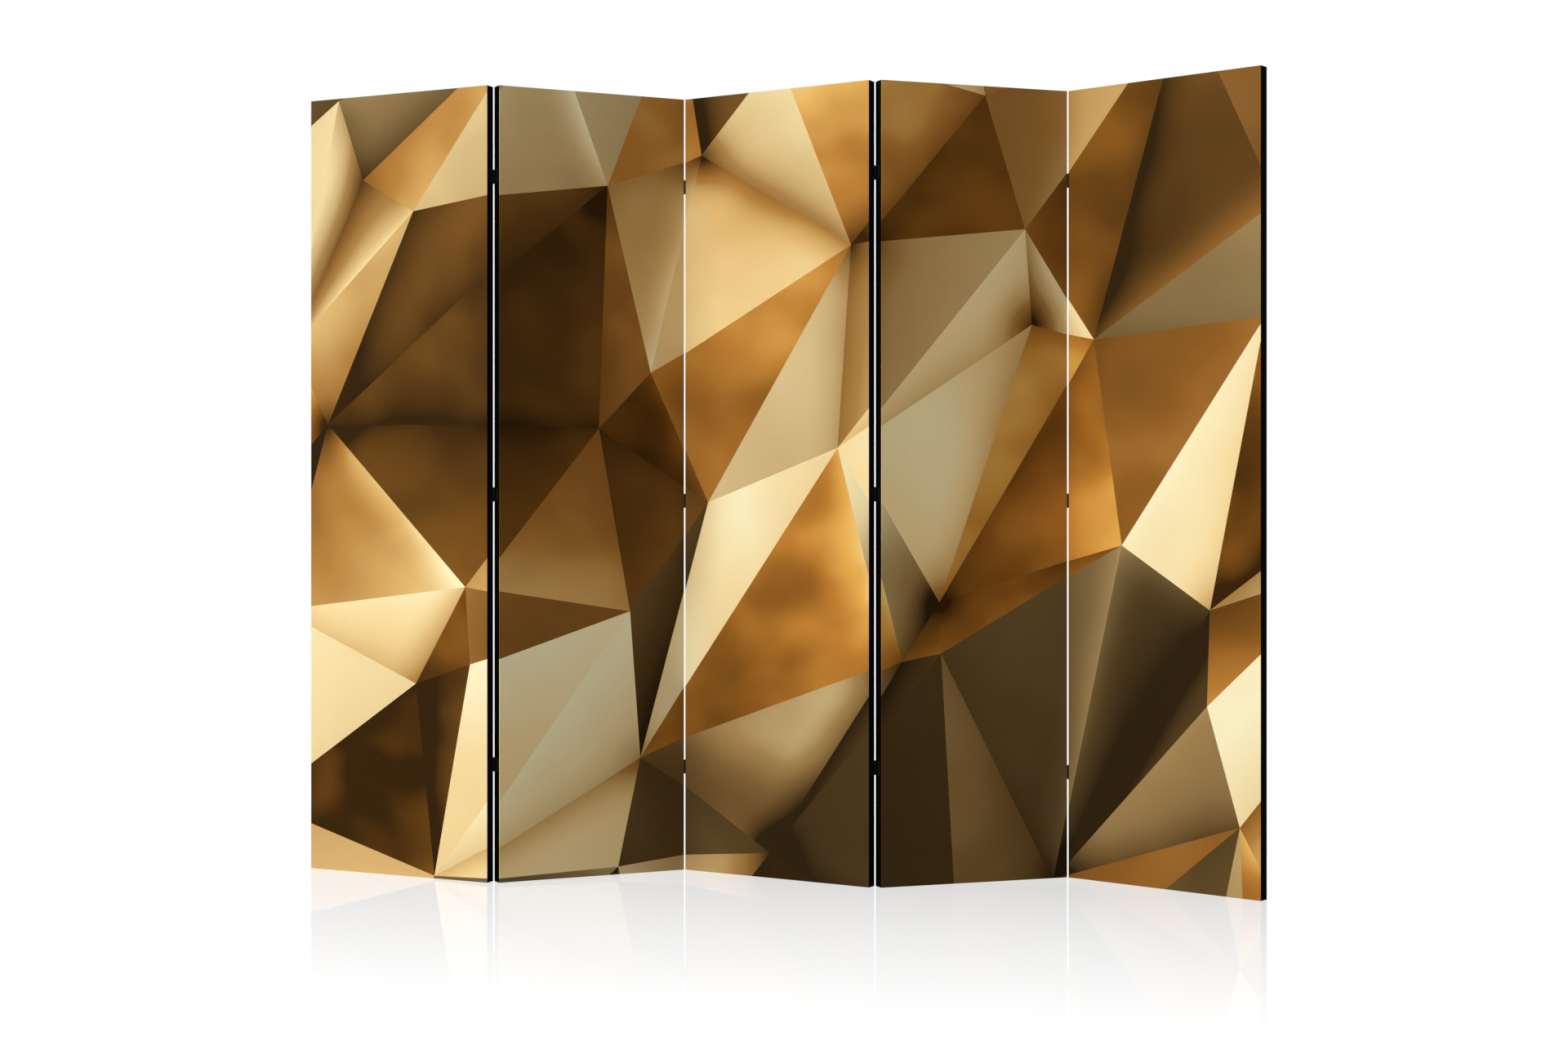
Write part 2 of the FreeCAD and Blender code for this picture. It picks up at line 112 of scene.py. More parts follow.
class Finish:  # the nodes of one material, or of the world
    def __init__(self, name, kind=bpy.data.materials):
        self.owner = kind.new(name)
        self.owner.use_nodes = True
        self.tree = self.owner.node_tree
        self.tree.nodes.clear()

    def feed(self, socket, value):
        if isinstance(value, Wire):
            self.tree.links.new(value.socket, socket)
        else:
            socket.default_value = value

    # A node of this kind: its settings first, then the values or wires of its sockets.
    def node(self, kind, settings, inputs, output=0):
        made = self.tree.nodes.new(kind)
        for name, value in settings.items():
            if name == "stops":
                fillRamp(made.color_ramp, value)
            else:
                setattr(made, name, value)
        for name, value in inputs.items():
            self.feed(made.inputs[name], value)
        return Wire(self, made.outputs[output])

    def attribute(self, name):
        return self.node("ShaderNodeAttribute", {"attribute_name": name}, {}, "Vector")

    def place(self):
        return self.node("ShaderNodeTexCoord", {}, {}, "Object")

    def vector(self, x, y, z=0.0):
        return self.node("ShaderNodeCombineXYZ", {}, {"X": x, "Y": y, "Z": z})

    def scaled(self, vector, scale, turn=0.0):
        inputs = {"Vector": vector, "Rotation": (0, 0, turn), "Scale": scale}
        return self.node("ShaderNodeMapping", {}, inputs)

    def noise(self, vector, scale, detail, roughness=0.5, distortion=0.0):
        inputs = {"Vector": vector, "Scale": scale, "Detail": detail}
        inputs |= {"Roughness": roughness, "Distortion": distortion}
        return self.node("ShaderNodeTexNoise", {}, inputs)

    def smooth(self, value, low, high):
        inputs = {"Value": value, "From Min": low, "From Max": high}
        return self.node("ShaderNodeMapRange", {"interpolation_type": "SMOOTHSTEP"}, inputs)

    def ramp(self, value, stops):
        return self.node("ShaderNodeValToRGB", {"stops": stops}, {0: value})

    # Sockets 6 and 7 and output 2 are the Mix node's colours.
    def mixed(self, share, first, second, blend="MIX"):
        settings = {"data_type": "RGBA", "blend_type": blend}
        return self.node("ShaderNodeMix", settings, {0: share, 6: first, 7: second}, 2)

    def shaded(self, colour, shade):
        return self.mixed(1.0, colour, self.vector(shade, shade, shade), "MULTIPLY")

    def blended(self, share, first, second):
        return self.node("ShaderNodeMixShader", {}, {0: share, 1: first, 2: second})

    def bump(self, height, distance, strength):
        inputs = {"Height": height, "Distance": distance, "Strength": strength}
        return self.node("ShaderNodeBump", {}, inputs)

    def surface(self, sockets):
        return self.node("ShaderNodeBsdfPrincipled", {}, sockets)

    def done(self, shader, kind="ShaderNodeOutputMaterial"):
        self.feed(self.tree.nodes.new(kind).inputs["Surface"], shader)
        return self.owner


# A new ramp has two stops already, so the others are added.
def fillRamp(ramp, stops):
    for _ in stops[2:]:
        ramp.elements.new(0.5)
    for element, (place, colour) in zip(ramp.elements, stops):
        element.position = place
        element.color = colour


# The linear colour of a web colour.
def paint(web):
    shares = np.array([int(web[i:i + 2], 16) for i in (1, 3, 5)]) / 255
    linear = np.where(shares <= 0.04045, shares / 12.92, ((shares + 0.055) / 1.055) ** 2.4)
    return (*linear.tolist(), 1.0)


def grey(level):
    return (level, level, level, 1)


# Meshes

def numbersOf(items, name, width):
    found = np.empty(len(items) * width)
    items.foreach_get(name, found)
    return found.reshape(-1, width)


def addPiece(name, points, faces, materials, materialOf=None):
    mesh = bpy.data.meshes.new(name)
    mesh.from_pydata(points.tolist(), [], faces)
    for material in materials:
        mesh.materials.append(material)
    if materialOf is not None:
        mesh.polygons.foreach_set("material_index", np.asarray(materialOf, np.int32))
    mesh.update()
    piece = bpy.data.objects.new(name, mesh)
    bpy.context.scene.collection.objects.link(piece)
    return piece


def addMap(piece, name, places):
    layer = piece.data.uv_layers.new(name=name, do_init=False)
    layer.uv.foreach_set("vector", places.astype(np.float32).ravel())


def addCorners(piece, name, values):
    attribute = piece.data.attributes.new(name, "FLOAT_VECTOR", "CORNER")
    attribute.data.foreach_set("vector", values.astype(np.float32).ravel())


# Twice the area of the triangle that two sides make, plus if the second lies to the left of the first.
def cross(first, second):
    return first[..., 0] * second[..., 1] - first[..., 1] * second[..., 0]


# The panels' own frames

# One panel: x runs along its printed side, y away from the viewer and z up, from the lower left corner of
# the CAD's canvas.
class Panel:
    def __init__(self, number):
        self.number = number
        self.name = f"panel_{number}"
        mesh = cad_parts[f"{self.name}_printed_canvas"].data
        # The largest faces are the front's, so their normal is the panel's depth.
        normals = numbersOf(mesh.polygons, "normal", 3)
        areas = numbersOf(mesh.polygons, "area", 1)
        away = normals[areas.argmax()]
        away = away / np.linalg.norm(away) * np.sign(away[1])
        self.axes = np.array([[away[1], -away[0], 0], away, [0, 0, 1]])
        places = numbersOf(mesh.vertices, "co", 3) @ self.axes.T
        self.low = places.min(0)
        self.width, self.depth, self.height = places.max(0) - self.low
        self.heading = math.atan2(-away[0], away[1])

    def toFrame(self, points):
        return (points + self.low) @ self.axes


panels = [Panel(number) for number in panelNumbers]
panelWidth, panelDepth, panelHeight = panels[0].width, panels[0].depth, panels[0].height
print("panels read:", len(panels), "each", round(panelWidth, 4), round(panelHeight, 4), round(panelDepth, 4))


# Printed design

# Light, from 0 to 1, says how brightly the drawn lamp meets a facet. In a row of pairs, each pair is a light
# and the value there.
printDesign = {
    "seed": 496,
    "pitch": 0.36,  # metres between the facets' corners
    "margin": 2,  # rows of corners beyond the panels
    "jitter": 0.43,  # share of the pitch by which a corner strays
    "lean": 56,  # degrees from level, the way the facets are drawn out
    "stretch": 1.7,
    "lamp": (-0.62, 0.78),  # where the drawn light comes from
    "scatter": 0.5,  # how much of a facet's light is chance
    "alike": (0.22, 0.06),  # of the facets' sides, those between two of like light, and their difference
    "levels": ((0, 0.07), (0.3, 0.36), (0.5, 0.57), (0.8, 0.88), (1, 1.02)),  # each a rank and its light
    "swings": ((0, 0.14), (0.3, 0.32), (0.6, 0.4), (1, 0.2)),  # how much the light changes over a facet
    "swingSpread": (0.5, 1.5),
    "coolShare": 0.36,  # of the facets, those in khaki
    "coolSpread": (0.65, 1),  # how khaki these are, and the others
    "warmSpread": (0, 0.25),
    "coolness": ((0, 1), (0.65, 1), (0.85, 0.45), (1, 0.3)),
    "amber": (0.5, 0.42, 0.22),  # the light at which a facet is cloudiest, and the fall below and above it
    "cloudSpread": (0, 1.5),
    "cloudLimits": (0.04, 1),
    "sheens": ((0, 0.08), (0.3, 0.352), (0.6, 0.544), (0.85, 0.16), (1, 0.08)),
    "sheenStep": (2.6, 0.8),  # waves of the sheen to a metre, across its bands and along them
    "sheenSpread": (0.5, 1.3),
    "sheenRoom": 80,  # waves, the side of the room of bands in which each facet has its place
    "bend": 0.1125,  # how dark a crease is for the bend at it
    "creaseMost": 1.125,
    "rarity": 1.5,  # power of chance that makes strong creases and sheens rare
    "glints": (0.08, 0.25),  # of the facets' sides that bend down, those that shine, and how much
    "glintSpread": (0.3, 1),
    "hollows": (0.15, 0.3),  # heights in the drawn relief at which a corner's shadow is full, and none
    "hollowSpread": (0.1, 1),
}


# Facet corners: rows a pitch apart, every second row half a pitch along, each corner moved at random.
def facetCorners(chance):
    pitch, margin = printDesign["pitch"], printDesign["margin"]
    across = np.arange(-margin, panelWidth * len(panels) / pitch + margin + 1)
    up = np.arange(-margin, panelHeight / pitch + margin + 1)
    x, z = np.meshgrid(across, up)
    x = x + 0.5 * (np.arange(len(up)) % 2)[:, None]
    spots = np.stack([x, z], -1).reshape(-1, 2)
    return (spots + chance.uniform(-1, 1, spots.shape) * printDesign["jitter"]) * pitch


# Facets: the corners' Delaunay triangles, found in a plane pressed together along the lean.
def facetTriangles(spots):
    lean = math.radians(printDesign["lean"])
    turn = np.array([[math.cos(lean), -math.sin(lean)], [math.sin(lean), math.cos(lean)]])
    pressed = spots @ turn / (printDesign["stretch"], 1)
    found = delaunay_2d_cdt([Vector(spot) for spot in pressed], [], [], allTriangles, hair)
    return np.array(found[2])


# Each value's rank, from 0 for the least to 1 for the most.
def share(values):
    return values.argsort().argsort() / (len(values) - 1)


# What straight lines between the points give for each value.
def curve(values, points):
    return np.interp(values, *zip(*points))


# Side k of a facet lies opposite its corner k.
def facetSides(triangles):
    return np.stack([triangles[:, [1, 2]], triangles[:, [2, 0]], triangles[:, [0, 1]]], 1)


# The two facets on either side of each inner side.
def facetPairs(triangles):
    sides = np.sort(facetSides(triangles).reshape(-1, 2), axis=1)
    facet = np.repeat(np.arange(len(triangles)), 3)
    order = np.lexsort((facet, sides[:, 1], sides[:, 0]))
    sides, facet = sides[order], facet[order]
    same = np.flatnonzero((sides[1:] == sides[:-1]).all(1))
    return facet[same], facet[same + 1]


# How steeply the drawn relief rises over each facet, to the right and upwards.
def facetSlopes(corner, high):
    first, second = corner[:, 1] - corner[:, 0], corner[:, 2] - corner[:, 0]
    firstRise, secondRise = high[:, 1] - high[:, 0], high[:, 2] - high[:, 0]
    rises = [
        firstRise * second[:, 1] - secondRise * first[:, 1],
        secondRise * first[:, 0] - firstRise * second[:, 0],
    ]
    return np.stack(rises, 1) / cross(first, second)[:, None]


# Each facet's light: by the rank of its slope towards the lamp plus some chance, with some pairs alike.
def facetLevels(triangles, slope, chance):
    raw = share(slope @ np.array(printDesign["lamp"]))
    raw = raw + chance.uniform(-1, 1, len(triangles)) * printDesign["scatter"]
    one, other = facetPairs(triangles)
    alikeShare, alikeStep = printDesign["alike"]
    alike = chance.random(len(one)) < alikeShare
    raw[other[alike]] = raw[one[alike]] + chance.uniform(-1, 1, alike.sum()) * alikeStep
    return curve(share(raw), printDesign["levels"])


# Light, khaki and cloud at each facet's corners. The light grows with the corner's height.
def facetTones(level, high, chance):
    count = len(level)
    swing = curve(level, printDesign["swings"]) * chance.uniform(*printDesign["swingSpread"], count)
    light = level[:, None] + swing[:, None] * (high - high.mean(1, keepdims=True))
    isCool = chance.random(count) < printDesign["coolShare"]
    cools = chance.uniform(*printDesign["coolSpread"], count)
    warms = chance.uniform(*printDesign["warmSpread"], count)
    cool = np.where(isCool, cools, warms) * curve(level, printDesign["coolness"])
    middle, below, above = printDesign["amber"]
    golden = (1 - cool) * np.exp(-((level - middle) / np.where(level < middle, below, above)) ** 2)
    cloud = golden * chance.uniform(*printDesign["cloudSpread"], count)
    cloud = np.clip(cloud, *printDesign["cloudLimits"])
    return np.stack([light, np.tile(cool[:, None], 3), np.tile(cloud[:, None], 3)], 2)


# Sheen: each facet mirrors its own piece of one room of soft bands, turned its own way.
def facetSheens(level, corner, chance):
    count = len(level)
    turn = chance.uniform(0, math.pi, count)[:, None]
    steps = printDesign["sheenStep"] * chance.uniform(*printDesign["sheenSpread"], (count, 2))
    start = chance.uniform(0, printDesign["sheenRoom"], (count, 2))
    x, z = corner[..., 0], corner[..., 1]
    across = (x * np.cos(turn) + z * np.sin(turn)) * steps[:, :1] + start[:, :1]
    along = (z * np.cos(turn) - x * np.sin(turn)) * steps[:, 1:] + start[:, 1:]
    amount = curve(level, printDesign["sheens"]) * chance.random(count) ** printDesign["rarity"]
    return np.stack([across, along, np.tile(amount[:, None], 3)], 2)


# Creases: two facets that bend upwards where they meet are dark there, the more the sharper the bend. A few
# of those that bend downwards shine there. It also gives the distance from each corner to the side opposite.
def facetCreases(spots, triangles, slope, chance):
    sides = facetSides(triangles)
    _, sideOf = np.unique(np.sort(sides.reshape(-1, 2), 1), axis=0, return_inverse=True)
    sideOf = sideOf.reshape(-1)
    slopes = np.repeat(slope, 3, 0)
    both = np.stack([np.bincount(sideOf, slopes[:, i]) for i in (0, 1)], 1)[sideOf]
    paired = np.bincount(sideOf)[sideOf] == 2
    along = spots[sides[..., 1]] - spots[sides[..., 0]]
    length = np.linalg.norm(along, axis=2)
    outwards = np.stack([along[..., 1], -along[..., 0]], 2).reshape(-1, 2) / length.reshape(-1, 1)
    bend = ((both - 2 * slopes) * outwards).sum(1) * paired
    count = len(bend)
    crease = np.clip(bend * printDesign["bend"], 0, printDesign["creaseMost"])
    crease = crease * chance.random(count) ** printDesign["rarity"]
    glintShare, glintLight = printDesign["glints"]
    glint = (bend < 0) & (chance.random(count) < glintShare)
    crease -= glint * chance.uniform(*printDesign["glintSpread"], count) * glintLight
    area = cross(along[:, 0], along[:, 1])
    return crease.reshape(-1, 3), area[:, None] / length


# Each facet's lowest corner, as x, z and how deep its shadow is.
def facetHollows(corner, high, chance):
    rows, lowest = np.arange(len(high)), high.argmin(1)
    full, none = printDesign["hollows"]
    shadow = np.clip((none - high[rows, lowest]) / (none - full), 0, 1)
    shadow = shadow * chance.uniform(*printDesign["hollowSpread"], len(high))
    return np.concatenate([corner[rows, lowest], shadow[:, None]], 1)


# The crumpled relief that the print shows, as a table of its facets.
def designFacets():
    chance = np.random.default_rng(printDesign["seed"])
    spots = facetCorners(chance)
    triangles = facetTriangles(spots)
    corner, high = spots[triangles], chance.random(len(spots))[triangles]
    slope = facetSlopes(corner, high)
    level = facetLevels(triangles, slope, chance)
    tone = facetTones(level, high, chance)
    sheen = facetSheens(level, corner, chance)
    crease, distance = facetCreases(spots, triangles, slope, chance)
    hollow = facetHollows(corner, high, chance)
    return {"spots": spots, "triangles": triangles, "tone": tone, "sheen": sheen, "distance": distance,
            "crease": crease, "hollow": hollow}


facets = designFacets()
print("facets drawn:", len(facets["triangles"]))


# Cloth finishes

weave = {
    "thread": 0.00062,
    "relief": 0.00012,
    "slubs": (900, 35),  # waves to a metre across a thread and along it
    "slubNoise": (1.0, 1.0),  # scale and detail
    "rougher": 0.08,  # how much rougher the threads' tops are
}
plainLook = {"between": 0.2, "uneven": 0.25, "rough": 0.82, "bump": 0.6}
canvasLooks = {  # between is the painted shade between the threads, and uneven how much the slubs show
    "printed canvas": {"between": 0.045, "uneven": 0.05, "rough": 0.72, "bump": 0.5, "gloss": 0.03},
    "black canvas edge": plainLook | {"gloss": 0.02, "colour": "#040405"},
    "raw canvas": plainLook | {"gloss": 0.1, "colour": "#cfc7b4"},
}

goldRamp = [
    (0.0, "#32220b"), (0.2, "#67461c"), (0.4, "#905f27"), (0.6, "#ae803f"),
    (0.8, "#e0bb7b"), (0.92, "#f9dda1"), (1.0, "#fff3c6"),
]
khakiRamp = [
    (0.0, "#2e210e"), (0.2, "#554122"), (0.4, "#77633d"), (0.6, "#9b8357"),
    (0.8, "#cabf94"), (0.92, "#ece0b2"), (1.0, "#fdf9cc"),
]
amberRamp = [
    (0.0, "#392206"), (0.2, "#6c4311"), (0.4, "#995f1b"), (0.6, "#c5812b"),
    (0.8, "#eeb049"), (0.92, "#fcda8d"), (1.0, "#ffefb8"),
]
printShades = {
    "creaseReach": 0.09,  # metres
    "hollowReach": 0.16,
    "hollowDepth": 0.85,  # of the way from white to black
    "bands": (1.0, 1.0, 0.4),  # scale, detail and roughness of the sheen's bands
    "bandEdges": (0.34, 0.66),
    "smokeWaves": (5.5, 6),  # of a cloud to a metre, across and up
    "smokeSteps": (31, 17),  # how far a facet's cloud and its khaki move it through the smoke
    "smoke": (1.0, 1.5, 0.4, 0.2),  # scale, detail, roughness and distortion
    "smokeEdges": (0.25, 0.75),
    "cloudDepth": 0.34,
    "amberGain": 1.6,  # how fast a facet turns amber with its cloud
}


def painted(stops):
    return [(place, paint(web)) for place, web in stops]


def clothMap(finish):
    return finish.node("ShaderNodeUVMap", {"uv_map": "cloth"}, {})


# Plain weave, a chequer of warp and weft threads: each is half a sine across, and 1 at its top.
def weaveHeight(finish, cloth):
    across, up, _ = cloth.parts()
    x, y = across / weave["thread"], up / weave["thread"]
    warp, weft = (x * math.pi).sine().size(), (y * math.pi).sine().size()
    over = finish.node("ShaderNodeTexChecker", {}, {"Vector": finish.vector(x, y), "Scale": 1.0}, "Fac")
    return warp * over + weft * (1 - over)


# Threads that run thicker and thinner, as long streaks along the warp and the weft.
def slubs(finish, cloth):
    across, along = weave["slubs"]
    warp = finish.noise(finish.scaled(cloth, (across, along, 1)), *weave["slubNoise"])
    weft = finish.noise(finish.scaled(cloth, (along, across, 1)), *weave["slubNoise"])
    return warp + weft - 1


# Woven canvas of any colour: painted shade darkens it between the threads, it is uneven along them and
# rougher on top of them.
def canvasSurface(finish, colour, look):
    cloth = clothMap(finish)
    height = weaveHeight(finish, cloth)
    # Painted shade: the colour is multiplied down where the weave is low, between the threads.
    shade = (1 - look["between"]) + height * look["between"] + slubs(finish, cloth) * look["uneven"]
    return finish.surface({
        "Base Color": finish.shaded(colour, shade),
        "Roughness": look["rough"] + height * weave["rougher"],
        "Specular IOR Level": look["gloss"],
        "Normal": finish.bump(height, weave["relief"], look["bump"]),
    })


def makePlainCanvas(name):
    finish = Finish(name)
    look = canvasLooks[name]
    return finish.done(canvasSurface(finish, paint(look["colour"]), look))


# The creases along a facet's three sides darken it by the square of the nearness, which is 1 at the side and
# 0 at the end of the reach.
def creased(finish, light):
    distances, creases = (finish.attribute(name).parts() for name in ("sideDistance", "sideCrease"))
    for distance, crease in zip(distances, creases):
        near = (1 - distance / printShades["creaseReach"]).above()
        light = light - crease * near * near
    return light


# Its hollow corner darkens it by the cube of the nearness.
def hollowed(finish, light, across, up):
    x, z, shadow = finish.attribute("hollowCorner").parts()
    sideways, upwards = across - x, up - z
    reach = (sideways * sideways + upwards * upwards) ** 0.5
    near = (1 - reach / printShades["hollowReach"]).above()
    return light - shadow * near ** 3 * printShades["hollowDepth"]


# Its bands of sheen lie about its light, half above and half below.
def sheened(finish, light):
    across, along, amount = finish.attribute("facetSheen").parts()
    bands = finish.noise(finish.vector(across, along), *printShades["bands"])
    return light + amount * (finish.smooth(bands, *printShades["bandEdges"]) - 0.5)


# So do its clouds, a piece of smoke that no other facet has.
def clouded(finish, light, cool, cloud, across, up):
    acrossWaves, upWaves = printShades["smokeWaves"]
    cloudStep, coolStep = printShades["smokeSteps"]
    spread = finish.vector(across * acrossWaves, up * upWaves, cloud * cloudStep + cool * coolStep)
    smoke = finish.smooth(finish.noise(spread, *printShades["smoke"]), *printShades["smokeEdges"])
    return light + cloud * (smoke - 0.5) * printShades["cloudDepth"]


# The print: the light of each facet read off a ramp of gold, amber or khaki.
def makePrint():
    finish = Finish("printed canvas")
    across, up, _ = clothMap(finish).parts()
    light, cool, cloud = finish.attribute("facetTone").parts()
    light = hollowed(finish, creased(finish, light), across, up)
    light = clouded(finish, sheened(finish, light), cool, cloud, across, up)
    gold, khaki, amber = (finish.ramp(light, painted(stops)) for stops in (goldRamp, khakiRamp, amberRamp))
    warm = finish.mixed((cloud * printShades["amberGain"]).belowOne(), gold, amber)
    colour = finish.mixed(cool, warm, khaki)
    return finish.done(canvasSurface(finish, colour, canvasLooks["printed canvas"]))


lining = {
    "thickness": 0.0006,
    "inset": 0.006,
    "step": 0.009,
    "sag": 0.0024,
    "archPowers": (0.8, 0.5),  # across and up: the lower the power, the flatter the middle of the sag
    "foldWaves": ((19, 11, 2.1), (9, -14, 1)),  # radians to a metre across and up, and to a panel
    "foldDepth": 0.45,
    "drawn": 0.0011,  # how far the edge draws in between two staples
    "drawnReach": 0.012,  # how fast that dies away inwards, and where it stops
    "drawnBand": 0.03,
    "firstUp": 0.026,  # a panel's lowest side staple, and how many there are up a side
    "staplesUp": 10,
    "firstAcross": 0.052,  # its first staple along the top and the bottom, and how many there are
    "staplesAcross": 3,
}
pitchUp = (panelHeight - 2 * lining["firstUp"]) / (lining["staplesUp"] - 1)
pitchAcross = (panelWidth - 2 * lining["firstAcross"]) / (lining["staplesAcross"] - 1)

liningLook = {
    "colour": "#1b1b1e",
    "gloss": 0.3,
    "fibreWaves": 700,
    "fibres": (1.0, 4.0, 0.65, 1.2),  # scale, detail, roughness and distortion
    "patches": (18.0, 3.0, 0.6),
    "dotPitch": 0.0022,
    "dotFrom": 0.35,  # the height of the dots' waves at which a dot begins
    "dotGain": 1.5,
    "shade": (0.45, 0.7, 0.55, 0.35),  # plain, with the fibres, with the patches and without the dots
    "rough": (0.62, 0.2, 0.2),  # plain, with the patches and without the dots
    "pull": (0.008, 0.035),  # the crease that runs inwards from a staple, half its width and its length
    "fine": 0.08,  # height of the fibres, as a share of a crease's
    "bump": (0.0012, 0.8),
}


# A crease from each staple of the row along an edge: it dies away with the distance from the edge.
def staplePulls(fromEdge, along, first, pitch):
    steps = (along + (lining["inset"] - first)) / pitch + 0.5
    aside = (steps.maths("FRACT") - 0.5) * pitch
    halfWidth, length = liningLook["pull"]
    return (aside * aside / -halfWidth ** 2 - fromEdge / length).maths("EXPONENT")


# Spun cloth: matted fibres, pressed together at small dots in staggered rows.
def makeLiningCloth():
    finish = Finish("black lining")
    cloth = clothMap(finish)
    fibreWaves = liningLook["fibreWaves"]
    fibres = finish.noise(finish.scaled(cloth, (fibreWaves, fibreWaves, 1)), *liningLook["fibres"])
    patches = finish.noise(cloth, *liningLook["patches"])
    across, up, _ = cloth.parts()
    turns = 2 * math.pi / liningLook["dotPitch"]
    dots = ((across + up) * turns).sine() * ((across - up) * turns).sine()
    dots = (dots.above(liningLook["dotFrom"]) - liningLook["dotFrom"]) * liningLook["dotGain"]
    halfWidth, halfHeight = panelWidth / 2 - lining["inset"], panelHeight / 2 - lining["inset"]
    fromSide = halfWidth - (across - halfWidth).size()
    fromEnd = halfHeight - (up - halfHeight).size()
    pulls = staplePulls(fromSide, up, lining["firstUp"], pitchUp)
    pulls = pulls + staplePulls(fromEnd, across, lining["firstAcross"], pitchAcross)
    plain, withFibres, withPatches, withoutDots = liningLook["shade"]
    shade = plain + fibres * withFibres + patches * withPatches - dots * withoutDots
    plain, withPatches, withoutDots = liningLook["rough"]
    return finish.done(finish.surface({
        "Base Color": finish.shaded(paint(liningLook["colour"]), shade),
        "Roughness": plain + patches * withPatches - dots * withoutDots,
        "Specular IOR Level": liningLook["gloss"],
        "Normal": finish.bump((fibres - dots) * liningLook["fine"] - pulls, *liningLook["bump"]),
    }))


printedCanvas = makePrint()
blackCanvas = makePlainCanvas("black canvas edge")
rawCanvas = makePlainCanvas("raw canvas")
liningCloth = makeLiningCloth()
print("cloth finishes made")


# Canvases

canvasSize = {
    "thickness": 0.0007,
    "turnover": 0.022,
    "edgeRadius": 0.0008,
    "arcSteps": 4,
    "bakeGap": 0.006,
}
rawEdge = 2 * canvasSize["arcSteps"] + 2  # the corner of the canvas's section where the turnover ends


# The front of every panel in the flat print: the facets cut along two rectangles for each panel, one above
# the other. It gives the corners, the triangles and, for each triangle, its facet and its rectangle.
def cutFronts():
    inset = canvasSize["edgeRadius"]
    spots = [Vector(spot) for spot in facets["spots"]]
    outlines = facets["triangles"].tolist()
    facetCount = len(outlines)
    for panel in range(len(panels)):
        left, right = panel * panelWidth + inset, (panel + 1) * panelWidth - inset
        for low, high in ((inset, panelHeight / 2), (panelHeight / 2, panelHeight - inset)):
            start = len(spots)
            spots += [Vector(spot) for spot in ((left, low), (right, low), (right, high), (left, high))]
            outlines.append([start, start + 1, start + 2, start + 3])
    points, _, faces, _, _, sources = delaunay_2d_cdt(spots, [], outlines, innerOnly, hair / 10)
    inside = [(face, min(source), max(source) - facetCount) for face, source in zip(faces, sources)
              if len(source) > 1 and max(source) >= facetCount]
    triangles, facetOf, rectangleOf = (np.array(values) for values in zip(*inside))
    return np.array([tuple(point) for point in points]), triangles, facetOf, rectangleOf


# One panel's front. flat has its corners' places in the print and local their places on the panel, while x
# and z count from the front's lower left corner. The rim is its outline from there to the right and round.
class Front:
    def __init__(self, panel, cut):
        points, triangles, facetOf, rectangleOf = cut
        index = panel.number - 1
        own = rectangleOf // 2 == index
        used, triangles = np.unique(triangles[own], return_inverse=True)
        self.triangles = triangles.reshape(-1, 3)
        self.facet = facetOf[own]
        self.isUpper = rectangleOf[own] % 2
        self.flat = points[used]
        self.local = self.flat - (index * panel.width, 0)
        inset = canvasSize["edgeRadius"]
        self.x, self.z = self.local[:, 0] - inset, self.local[:, 1] - inset
        self.width, self.height = panel.width - 2 * inset, panel.height - 2 * inset
        self.findRim()

    # out is the way out of the front, -1, 0 or 1 to the right and upwards. way is the length round the rim.
    def findRim(self):
        x, z, width, height = self.x, self.z, self.width, self.height
        outX = (np.abs(x - width) < hair) * 1.0 - (np.abs(x) < hair)
        outZ = (np.abs(z - height) < hair) * 1.0 - (np.abs(z) < hair)
        rim = np.flatnonzero((outX != 0) | (outZ != 0))
        way = np.select(
            [outZ[rim] < 0, outX[rim] > 0, outZ[rim] > 0],
            [x[rim], width + z[rim], 2 * width + height - x[rim]],
            2 * (width + height) - z[rim],
        )
        order = way.argsort()
        self.rim, self.way = rim[order], way[order]
        self.around = 2 * (width + height)
        self.out = np.stack([outX[self.rim], outZ[self.rim]], 1)

    # Each side of the rim belongs to one triangle: where that triangle has the side's two ends.
    def rimCorners(self):
        size = len(self.flat)
        sides = (self.triangles * size + np.roll(self.triangles, -1, 1)).ravel()
        order = sides.argsort()
        start = order[np.searchsorted(sides[order], self.rim * size + np.roll(self.rim, -1))]
        return start, start // 3 * 3 + (start + 1) % 3


# The canvas's edge as seen in section: how far out it stands from the flat front, and how deep. It goes
# round the front edge, along the side, round the back edge, over the turnover, and back inside at the
# cloth's thickness.
def canvasSection(depth):
    radius, thick, turnover = (canvasSize[name] for name in ("edgeRadius", "thickness", "turnover"))
    angles = np.linspace(0, math.pi / 2, canvasSize["arcSteps"] + 1)
    sine, cosine = np.sin(angles), np.cos(angles)
    inner = radius - thick
    turned = [radius - turnover] * 2
    out = [radius * sine, radius * cosine, turned, inner * cosine[::-1], inner * sine[::-1]]
    deep = [radius - radius * cosine, depth - radius + radius * sine, [depth, depth - thick],
            depth - radius + inner * sine[::-1], radius - inner * cosine[::-1]]
    out, deep = np.concatenate(out), np.concatenate(deep)
    length = np.concatenate([[0], np.hypot(np.diff(out), np.diff(deep)).cumsum()])
    fromFront = np.where(np.arange(len(out)) <= rawEdge, length, length[-1] - length)
    return out, deep, length, fromFront


